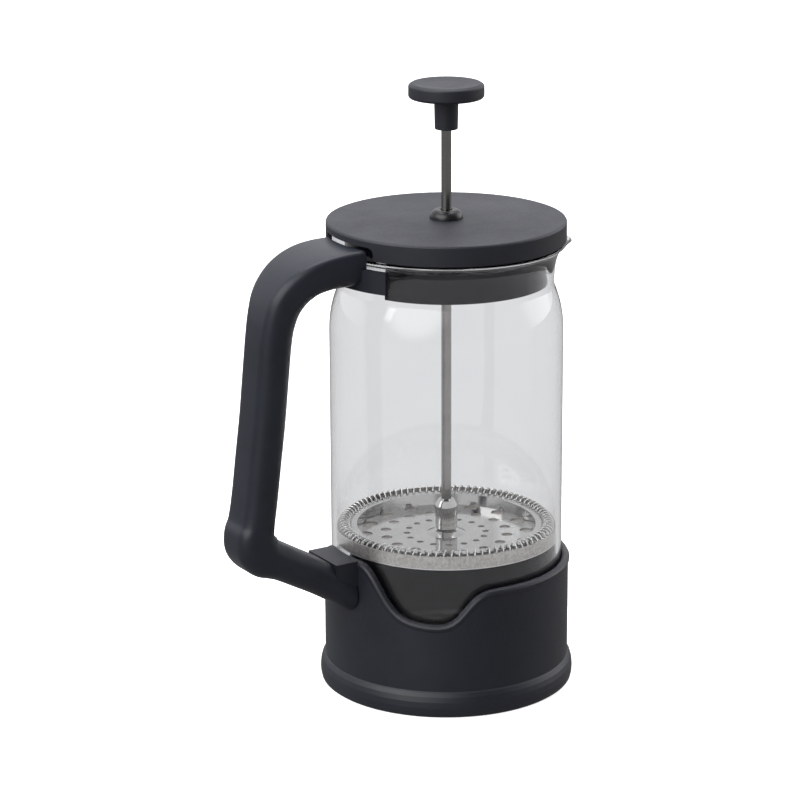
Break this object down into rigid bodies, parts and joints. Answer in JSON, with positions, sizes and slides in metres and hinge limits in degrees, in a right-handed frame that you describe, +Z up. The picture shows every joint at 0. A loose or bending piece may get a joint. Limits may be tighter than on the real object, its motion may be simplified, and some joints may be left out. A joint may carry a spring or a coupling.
{
  "type": "french press",
  "caption": "Cylindrical glass coffee plunger pot in a black moulded holder with a tall side handle, a flat lid, and a rod with a round knob and a spring-edged filter.",
  "frame": {"origin": "centre of the holder's flat underside, on the beaker's axis", "axes": "+Z up along the beaker and the rod; the handle stands on the -X side; the beaker is round apart from its spout, which is turned 25 degrees from +X toward -Y as in the picture; apart from the spout the pot is the same on both sides of the XZ plane"},
  "size_m": [0.1567, 0.1072, 0.2549],
  "materials": {
    "holder_plastic": "fine-grained black moulded plastic",
    "handle_plastic": "fine-grained black moulded plastic, slightly smoother on the grip",
    "lid_plastic": "spark-textured matte black plastic",
    "collar_plastic": "smooth satin black plastic",
    "guide_plastic": "smooth satin black plastic",
    "pad_rubber": "soft matte rubber",
    "screw_steel": "zinc-plated steel",
    "beaker_glass": "clear polished glass",
    "insert_brass": "turned brass",
    "rod_steel": "polished stainless steel",
    "polished_steel": "polished stainless steel",
    "spring_steel": "bright drawn stainless wire",
    "mesh_steel": "fine woven stainless mesh",
    "plate_steel": "pressed stainless steel"
  },
  "bodies": {
    "holder": {"base_cup": "holder_plastic", "base_pad": "pad_rubber", "handle": "handle_plastic", "neck_saddle": "holder_plastic", "saddle_screw_l": "screw_steel", "saddle_screw_r": "screw_steel", "arm_screw": "screw_steel"},
    "beaker": {"beaker": "beaker_glass"},
    "lid": {"lid_cap": "lid_plastic", "lid_collar": "collar_plastic", "rod_guide": "guide_plastic"},
    "plunger": {"knob": "lid_plastic", "knob_insert": "insert_brass", "rod": "rod_steel", "rod_hub": "polished_steel", "perforated_plate": "polished_steel", "edge_spring": "spring_steel", "filter_mesh": "mesh_steel", "cross_plate": "plate_steel", "cross_hub": "plate_steel", "lock_washer": "plate_steel"}
  },
  "joints": [
    {"name": "beaker_lift", "type": "slide", "parent": "holder", "child": "beaker", "axis": [0, 0, 1], "range_m": [0, 0.2]},
    {"name": "lid_lift", "type": "slide", "parent": "beaker", "child": "lid", "axis": [0, 0, 1], "range_m": [0, 0.18], "deforming": ["edge_spring", "filter_mesh"]},
    {"name": "plunger_slide", "type": "slide", "parent": "lid", "child": "plunger", "axis": [0, 0, 1], "range_m": [-0.033, 0.08]}
  ]
}
